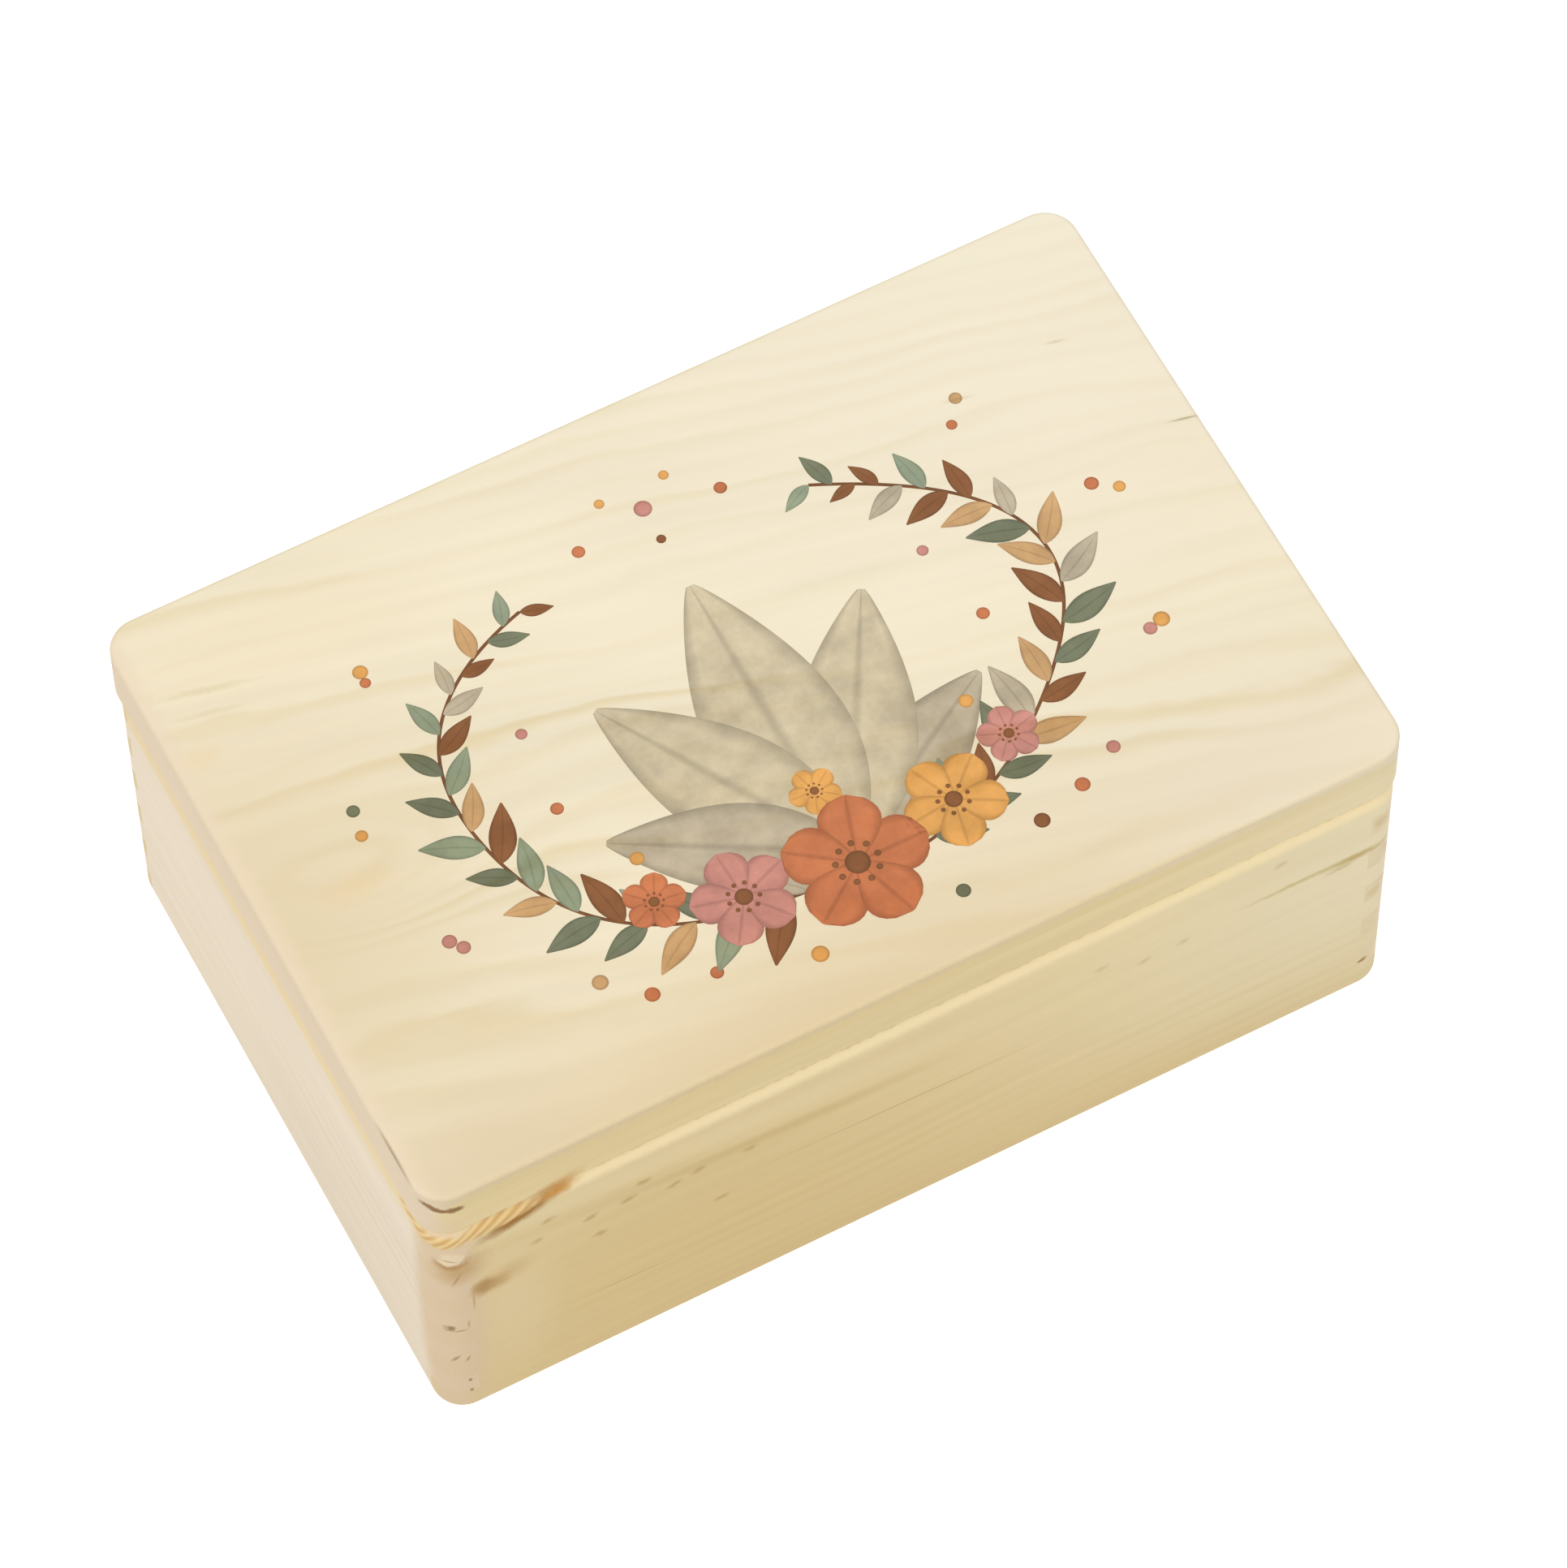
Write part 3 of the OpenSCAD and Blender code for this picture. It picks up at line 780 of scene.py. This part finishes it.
def begin(name, sizes):
    """A new geometry tree with a named input for each size: the tree and those inputs."""
    tree = bpy.data.node_groups.new(name, "GeometryNodeTree")
    tree.interface.new_socket(name="Geometry", in_out="INPUT", socket_type="NodeSocketGeometry")
    for label, value in sizes.items():
        tree.interface.new_socket(name=label, in_out="INPUT", socket_type=SOCKETS[type(value)])
    tree.interface.new_socket(name="Geometry", in_out="OUTPUT", socket_type="NodeSocketGeometry")
    return tree, add(tree, "NodeGroupInput").outputs


def end(tree, geometry, material):
    """Every tree ends alike: real mesh instead of instances, and one material."""
    solid = add(tree, "GeometryNodeRealizeInstances", {"Geometry": geometry})
    dressed = add(tree, "GeometryNodeSetMaterial", {"Geometry": solid, "Material": material})
    add(tree, "NodeGroupOutput", (dressed,))


def print_on_lid(name, host, tree, sizes):
    """Runs a tree on a host mesh, and keeps the result as a plain mesh that rides on the lid."""
    guide = bpy.data.objects.new(name + "_guide", host)
    scene.collection.objects.link(guide)
    live = guide.modifiers.new(tree.name, "NODES")
    live.node_group = tree
    for item in tree.interface.items_tree:
        if item.in_out == "INPUT" and item.name in sizes:
            live[item.identifier] = sizes[item.name]
    bpy.context.view_layer.update()
    ready = guide.evaluated_get(bpy.context.evaluated_depsgraph_get())
    mesh = bpy.data.meshes.new_from_object(ready)
    bpy.data.objects.remove(guide)
    piece = bpy.data.objects.new(name, mesh)
    scene.collection.objects.link(piece)
    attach(piece, "lid")
    top = max(v.co.z for v in mesh.vertices) / MM
    print(name, "faces:", len(mesh.polygons), "top at mm:", round(top, 3))


# %% [markdown]
# Leaf and dot, the two plates
#
# A leaf is a grid bent into shape while its corners still know how far along and
# across it they are, and a dot is a round fan. A raised copy of the flat patch, its
# walls, and the patch turned over make a closed plate one unit high.

# %% Plates
WELD = 1e-5
DOT_SIDES, DOT_RADIUS = 20, 0.5
DOT_MIDDLE = 0.2  # past the midrib's part of the scale, so that a dot has no rib


def plate(tree, flat):
    """Makes a flat patch a closed plate."""
    raised = add(tree, "GeometryNodeExtrudeMesh", {"Mesh": flat, "Offset Scale": 1.0, "Individual": False})
    below = add(tree, "GeometryNodeFlipFaces", {"Mesh": flat})
    both = add(tree, "GeometryNodeJoinGeometry", ([raised, below],))
    return add(tree, "GeometryNodeMergeByDistance", {"Geometry": both, "Distance": WELD})


def disc(tree):
    """A round plate one unit across, whose points know how far out they lie."""
    circle = add(tree, "GeometryNodeMeshCircle", (DOT_SIDES, DOT_RADIUS), fill_type="TRIANGLE_FAN")
    spot = add(tree, "GeometryNodeInputPosition")
    out = add(tree, "ShaderNodeVectorMath", (spot,), operation="LENGTH").outputs["Value"]
    out = add(tree, "ShaderNodeMapRange", (out, 0.0, DOT_RADIUS, DOT_MIDDLE, 1.0))
    knowing = {"Geometry": circle, "Name": "across", "Value": out}
    return plate(tree, add(tree, "GeometryNodeStoreNamedAttribute", knowing))


# %% Leaf
LEAF_ROWS = 7
STALK_HALF_WIDTH = 0.03


def leaf(tree, fullness, bluntness, curl, steps=13):
    """A leaf one unit long and up to one wide, with its stalk end at zero and its tip on X."""
    flat = add(tree, "GeometryNodeMeshGrid", (1.0, 1.0, steps, LEAF_ROWS))
    spot = add(tree, "ShaderNodeSeparateXYZ", (add(tree, "GeometryNodeInputPosition"),)).outputs
    along = add(tree, "ShaderNodeMath", (spot["X"], 0.5), operation="ADD")
    across = add(tree, "ShaderNodeMath", (spot["Y"], 2.0), operation="MULTIPLY")
    for name, value in (("along", along), ("across", across)):
        flat = add(tree, "GeometryNodeStoreNamedAttribute", {"Geometry": flat, "Name": name, "Value": value})
    along = add(tree, "GeometryNodeInputNamedAttribute", {"Name": "along"})
    across = add(tree, "GeometryNodeInputNamedAttribute", {"Name": "across"})

    # Half a sine wave from the stalk to the tip gives the outline.
    bulge = along
    shaping = (("POWER", fullness), ("MULTIPLY", math.pi), ("SINE", 0), ("MAXIMUM", 0), ("POWER", 1 / bluntness))
    for operation, value in shaping:
        bulge = add(tree, "ShaderNodeMath", (bulge, value), operation=operation)
    half = (bulge, 0.5 - STALK_HALF_WIDTH, STALK_HALF_WIDTH)
    half = add(tree, "ShaderNodeMath", half, operation="MULTIPLY_ADD")
    sag = add(tree, "ShaderNodeMath", (along, 2.0), operation="POWER")
    sag = add(tree, "ShaderNodeMath", (sag, curl), operation="MULTIPLY")
    side = add(tree, "ShaderNodeMath", (across, half, sag), operation="MULTIPLY_ADD")
    place = add(tree, "ShaderNodeCombineXYZ", {"X": along, "Y": side})
    return plate(tree, add(tree, "GeometryNodeSetPosition", {"Geometry": flat, "Position": place}))


# %% [markdown]
# Two garlands
#
# Two stems rise from the front of the wreath and part to the left and right. Each is a
# line of points on a wobbly ellipse, and the tree sweeps a flat profile along it.

# %% Stems
WREATH_MIDDLE, WREATH_HALF_SIZES = Vector((0, -1)), Vector((90, 62))
WOBBLE = 0.03
STEM_POINTS, STEM_START, STEM_SWEEP = 60, 10, 140


def stem_point(side, degrees):
    """A point on the wreath's outline, so many degrees round from its front, left or right."""
    angle = math.radians(degrees)
    wobble = 1 + WOBBLE * math.sin(4 * angle + side)
    x = WREATH_MIDDLE.x + side * WREATH_HALF_SIZES.x * wobble * math.sin(angle)
    y = WREATH_MIDDLE.y - WREATH_HALF_SIZES.y * wobble * math.cos(angle)
    return x * MM, y * MM, LID_TOP


stems = bpy.data.meshes.new("stems")
turns = [STEM_START + STEM_SWEEP * i / (STEM_POINTS - 1) for i in range(STEM_POINTS)]
points = [stem_point(side, degrees) for side in (-1, 1) for degrees in turns]
links = [(i, i + 1) for i in range(2 * STEM_POINTS - 1) if i != STEM_POINTS - 1]
stems.from_pydata(points, links, [])
print("points on the stems:", len(points))

# %% A stem with thickness
GARLAND = {
    "Stem width": 1.0 * MM, "Stem height": 0.02 * MM, "Leaf length": 17 * MM, "Leaf width": 7 * MM,
    "Leaf height": 0.03 * MM, "Leaf spacing": 6.4 * MM, "Lean": math.radians(44), "Seed": 5, "Ink": printed,
}
STEM_STEP = 1.5 * MM
tree, given = begin("leaves along a stem", GARLAND)
line = add(tree, "GeometryNodeMeshToCurve", {"Mesh": given["Geometry"]})
smooth = add(tree, "GeometryNodeResampleCurve", {"Curve": line, "Length": STEM_STEP}, mode="LENGTH")
level = add(tree, "GeometryNodeSetCurveNormal", {"Curve": smooth}, mode="Z_UP")
section = add(tree, "GeometryNodeCurvePrimitiveQuadrilateral", (given["Stem width"], given["Stem height"]))
swept = add(tree, "GeometryNodeCurveToMesh", {"Curve": level, "Profile Curve": section, "Fill Caps": True})
half_up = add(tree, "ShaderNodeMath", (given["Stem height"], 0.5), operation="MULTIPLY")
half_up = add(tree, "ShaderNodeCombineXYZ", {"Z": half_up})
raised = add(tree, "GeometryNodeTransform", {"Geometry": swept, "Translation": half_up})
brown_stem = {"Geometry": raised, "Name": "hue", "Value": ink_place(BROWN)}
stem = add(tree, "GeometryNodeStoreNamedAttribute", brown_stem)

# %% [markdown]
# The leaves along the stems
#
# A leaf is set every few millimetres, leaning forward to the left and right in turn.
# A random number with a fixed seed varies its lean and its size a little, and towards
# the tip the leaves grow smaller.

# %% Where each leaf sits, and which way it points
SWAY = (0.8, 1.2)
spots = add(tree, "GeometryNodeResampleCurve", {"Curve": line, "Length": given["Leaf spacing"]}, mode="LENGTH")
number = add(tree, "GeometryNodeInputIndex")
sway = {2: SWAY[0], 3: SWAY[1], "ID": number, "Seed": given["Seed"]}
sway = add(tree, "FunctionNodeRandomValue", sway).outputs[1]
side = add(tree, "ShaderNodeMath", (number, 2.0), operation="MODULO")
side = add(tree, "ShaderNodeMath", (side, 2.0, -1.0), operation="MULTIPLY_ADD")
lean = add(tree, "ShaderNodeMath", (side, given["Lean"]), operation="MULTIPLY")
lean = add(tree, "ShaderNodeMath", (lean, sway), operation="MULTIPLY")
forward = {"Vector": add(tree, "GeometryNodeInputTangent")}
forward = add(tree, "FunctionNodeAlignRotationToVector", forward, axis="X", pivot_axis="Z")
turn = add(tree, "FunctionNodeAxisAngleToRotation", {"Axis": (0, 0, 1), "Angle": lean})
facing = {"Rotation": forward, "Rotate By": turn}
facing = add(tree, "FunctionNodeRotateRotation", facing, rotation_space="LOCAL")

# %% How big each leaf is
TAPER, TIP_SIZE = (0.55, 1.0), 0.6
LAYERS, LAYER_STEP = 5, 0.2
factor = add(tree, "GeometryNodeSplineParameter").outputs["Factor"]
taper = add(tree, "ShaderNodeMapRange", (factor, *TAPER, 1.0, TIP_SIZE))
grown = add(tree, "ShaderNodeMath", (taper, sway), operation="MULTIPLY")
length = add(tree, "ShaderNodeMath", (grown, given["Leaf length"]), operation="MULTIPLY")
width = add(tree, "ShaderNodeMath", (grown, given["Leaf width"]), operation="MULTIPLY")
# Leaves that overlap differ in height by 0.006 mm, so that no two top faces share a plane.
layer = add(tree, "ShaderNodeMath", (number, LAYERS), operation="MODULO")
layer = add(tree, "ShaderNodeMath", (layer, LAYER_STEP, 1.0), operation="MULTIPLY_ADD")
height = add(tree, "ShaderNodeMath", (layer, given["Leaf height"]), operation="MULTIPLY")
scale = add(tree, "ShaderNodeCombineXYZ", (length, width, height))

# %% The garlands, each leaf in its own ink
LEAF_INKS = (0, 4)
small_leaf = leaf(tree, fullness=0.8, bluntness=1.0, curl=0.25)
leaves = {"Points": spots, "Instance": small_leaf, "Rotation": facing, "Scale": scale}
leaves = add(tree, "GeometryNodeInstanceOnPoints", leaves)
pick = {4: LEAF_INKS[0], 5: LEAF_INKS[1], "ID": number, "Seed": given["Seed"]}
pick = add(tree, "FunctionNodeRandomValue", pick, data_type="INT").outputs[2]
hue = add(tree, "ShaderNodeMath", (pick, 0.5), operation="ADD")
hue = add(tree, "ShaderNodeMath", (hue, len(INKS)), operation="DIVIDE")
leaves = {"Geometry": leaves, "Name": "hue", "Value": hue}
leaves = add(tree, "GeometryNodeStoreNamedAttribute", leaves, domain="INSTANCE")
together = add(tree, "GeometryNodeJoinGeometry", ([stem, leaves],))
end(tree, together, given["Ink"])
print_on_lid("printed_garlands", stems, tree, GARLAND)

# %% [markdown]
# Dots
#
# Dots, blossoms and the fan are hosted by single points, each with its own size and
# hue, so one tree can set motifs of every size in every ink. Some dots are listed one
# by one, and others follow the garlands, inside and outside.

# %% Points that carry a size and a hue
# Each dot: X and Y, its size, and the number of its ink.
DOTS = [
    (-22, -80, 5.0, 7), (21, -81, 4.2, 0), (-49, -72, 3.8, 5), (50, -72, 4.6, 4), (-78, -60, 4.6, 3), (78, -61, 4.0, 6),
    (-108, -30, 4.2, 6), (109, -32, 4.8, 7), (-113, 18, 3.8, 0), (113, 15, 4.2, 5), (-92, 56, 4.4, 7), (93, 57, 3.8, 3),
    (-22, 62, 3.8, 5), (0, 66, 5.2, 6), (22, 62, 3.8, 5), (-10, 73, 3.0, 7), (10, 73, 3.0, 7), (0, 55, 2.8, 4),
]
INSIDE, OUTSIDE = 0.74, 1.3
for side in (-1, 1):
    for i, degrees in enumerate(range(34, 146, 16)):
        x, y, _ = stem_point(side, degrees)
        reach = INSIDE if i % 2 else OUTSIDE
        x, y = WREATH_MIDDLE + (Vector((x, y)) / MM - WREATH_MIDDLE) * reach
        DOTS.append((x, y, 4.4 - 0.2 * i, (5, 7, 6)[i % 3]))


def host_points(name, rows):
    """A mesh of loose points, each with a size in metres and a hue."""
    mesh = bpy.data.meshes.new(name)
    mesh.from_pydata([(x * MM, y * MM, LID_TOP) for x, y, _, _ in rows], [], [])
    values = {"size": [row[2] * MM for row in rows], "hue": [ink_place(row[3]) for row in rows]}
    for label, column in values.items():
        mesh.attributes.new(label, "FLOAT", "POINT").data.foreach_set("value", column)
    return mesh


print("dots:", len(DOTS))


# %% Dots on their points
def set_on_points(tree, given, motif, scale, rotation=(0, 0, 0)):
    """Sets a motif on each point of the host in that point's hue, and ends the tree."""
    look = {"Points": given["Geometry"], "Instance": motif, "Rotation": rotation, "Scale": scale}
    motifs = add(tree, "GeometryNodeInstanceOnPoints", look)
    hue = add(tree, "GeometryNodeInputNamedAttribute", {"Name": "hue"})
    motifs = {"Geometry": motifs, "Name": "hue", "Value": hue}
    end(tree, add(tree, "GeometryNodeStoreNamedAttribute", motifs, domain="INSTANCE"), given["Ink"])


DOT = {"Height": 0.022 * MM, "Ink": printed}
tree, given = begin("round dots", DOT)
size_of = add(tree, "GeometryNodeInputNamedAttribute", {"Name": "size"})
scale = add(tree, "ShaderNodeCombineXYZ", (size_of, size_of, given["Height"]))
set_on_points(tree, given, disc(tree), scale)
print_on_lid("printed_dots", host_points("dot places", DOTS), tree, DOT)

# %% [markdown]
# Blossoms
#
# A blossom is a ring of round petals about a brown eye, with a halo of stamens. It is
# built once, one unit across, and each host point gives it a size. Petals and whole
# blossoms differ a little in height, so that no two top faces share a plane.

# %% Petals
# Each blossom: X and Y, its size, and the number of its ink.
BLOSSOMS = ((0, -60, 42, 5), (-32, -55, 30, 6), (32, -55, 30, 7), (-54, -45, 18, 5), (55, -44, 18, 6), (0, -35, 15, 7))
BLOSSOM = {
    "Petals": 5, "Petal length": 0.5, "Petal width": 0.42, "Centre": 0.17, "Stamens": 9, "Stamen size": 0.045,
    "Height": 0.09 * MM, "Ink": printed,
}
PETAL_STEP = 0.08
tree, given = begin("blossoms", BLOSSOM)
ring = add(tree, "GeometryNodePoints", {"Count": given["Petals"]})
number = add(tree, "GeometryNodeInputIndex")
step = add(tree, "ShaderNodeMath", (2 * math.pi, given["Petals"]), operation="DIVIDE")
turn = add(tree, "ShaderNodeMath", (number, step), operation="MULTIPLY")
turn = add(tree, "ShaderNodeCombineXYZ", {"Z": turn})
layer = add(tree, "ShaderNodeMath", (number, PETAL_STEP, 1.0), operation="MULTIPLY_ADD")
scale = add(tree, "ShaderNodeCombineXYZ", (given["Petal length"], given["Petal width"], layer))
petal = leaf(tree, fullness=1.5, bluntness=1.7, curl=0.0)
petals = {"Points": ring, "Instance": petal, "Rotation": turn, "Scale": scale}
petals = add(tree, "GeometryNodeInstanceOnPoints", petals)

# %% Eye and stamens
EYE_HEIGHT, STAMEN_HEIGHT, STAMEN_RING = 1.6, 1.5, 0.145
eye_size = add(tree, "ShaderNodeCombineXYZ", (given["Centre"], given["Centre"], EYE_HEIGHT))
brown_dot = {"Geometry": disc(tree), "Name": "hue", "Value": ink_place(BROWN)}
brown_dot = add(tree, "GeometryNodeStoreNamedAttribute", brown_dot)
eye = add(tree, "GeometryNodeTransform", {"Geometry": brown_dot, "Scale": eye_size})
halo = add(tree, "GeometryNodeMeshCircle", (given["Stamens"], STAMEN_RING))
stamen_size = add(tree, "ShaderNodeCombineXYZ", (given["Stamen size"], given["Stamen size"], STAMEN_HEIGHT))
stamens = add(tree, "GeometryNodeInstanceOnPoints", {"Points": halo, "Instance": brown_dot, "Scale": stamen_size})
flower = add(tree, "GeometryNodeJoinGeometry", ([petals, eye, stamens],))

# %% Blossoms on their points
RANK_STEP, TWIRL = -0.07, 0.37
size_of = add(tree, "GeometryNodeInputNamedAttribute", {"Name": "size"})
rank = add(tree, "GeometryNodeInputIndex")
high = add(tree, "ShaderNodeMath", (rank, RANK_STEP, 1.0), operation="MULTIPLY_ADD")
high = add(tree, "ShaderNodeMath", (high, given["Height"]), operation="MULTIPLY")
scale = add(tree, "ShaderNodeCombineXYZ", (size_of, size_of, high))
twirl = add(tree, "ShaderNodeMath", (rank, TWIRL), operation="MULTIPLY")
twirl = add(tree, "ShaderNodeCombineXYZ", {"Z": twirl})
set_on_points(tree, given, flower, scale, twirl)
print_on_lid("printed_blossoms", host_points("blossom places", BLOSSOMS), tree, BLOSSOM)

# %% [markdown]
# A fan of broad leaves
#
# Behind the blossoms stand five broad pale leaves, spread like the fingers of a hand.
# They are the garland's own leaf at another size, set on one point and turned by
# their number. They lie lowest, so the dots and the garlands are drawn over them.

# %% The fan
FAN_FOOT = (0, -56)
FAN_LEAVES = ((66, 2), (82, 8), (94, 8), (82, 8), (66, 2))  # length and ink
FAN = {
    "First turn": math.radians(30), "Next turn": math.radians(30), "Slimness": 0.42, "Height": 0.012 * MM,
    "Ink": printed,
}
FAN_STEP = 0.1
tree, given = begin("a fan of leaves", FAN)
number = add(tree, "GeometryNodeInputIndex")
turn = add(tree, "ShaderNodeMath", (number, given["Next turn"], given["First turn"]), operation="MULTIPLY_ADD")
turn = add(tree, "ShaderNodeCombineXYZ", {"Z": turn})
high = add(tree, "ShaderNodeMath", (number, FAN_STEP, 1.0), operation="MULTIPLY_ADD")
high = add(tree, "ShaderNodeMath", (high, given["Height"]), operation="MULTIPLY")
size_of = add(tree, "GeometryNodeInputNamedAttribute", {"Name": "size"})
wide = add(tree, "ShaderNodeMath", (size_of, given["Slimness"]), operation="MULTIPLY")
scale = add(tree, "ShaderNodeCombineXYZ", (size_of, wide, high))
broad_leaf = leaf(tree, fullness=0.8, bluntness=1.15, curl=0.0, steps=41)
set_on_points(tree, given, broad_leaf, scale, turn)
print_on_lid("printed_fan", host_points("fan places", [(*FAN_FOOT, *row) for row in FAN_LEAVES]), tree, FAN)
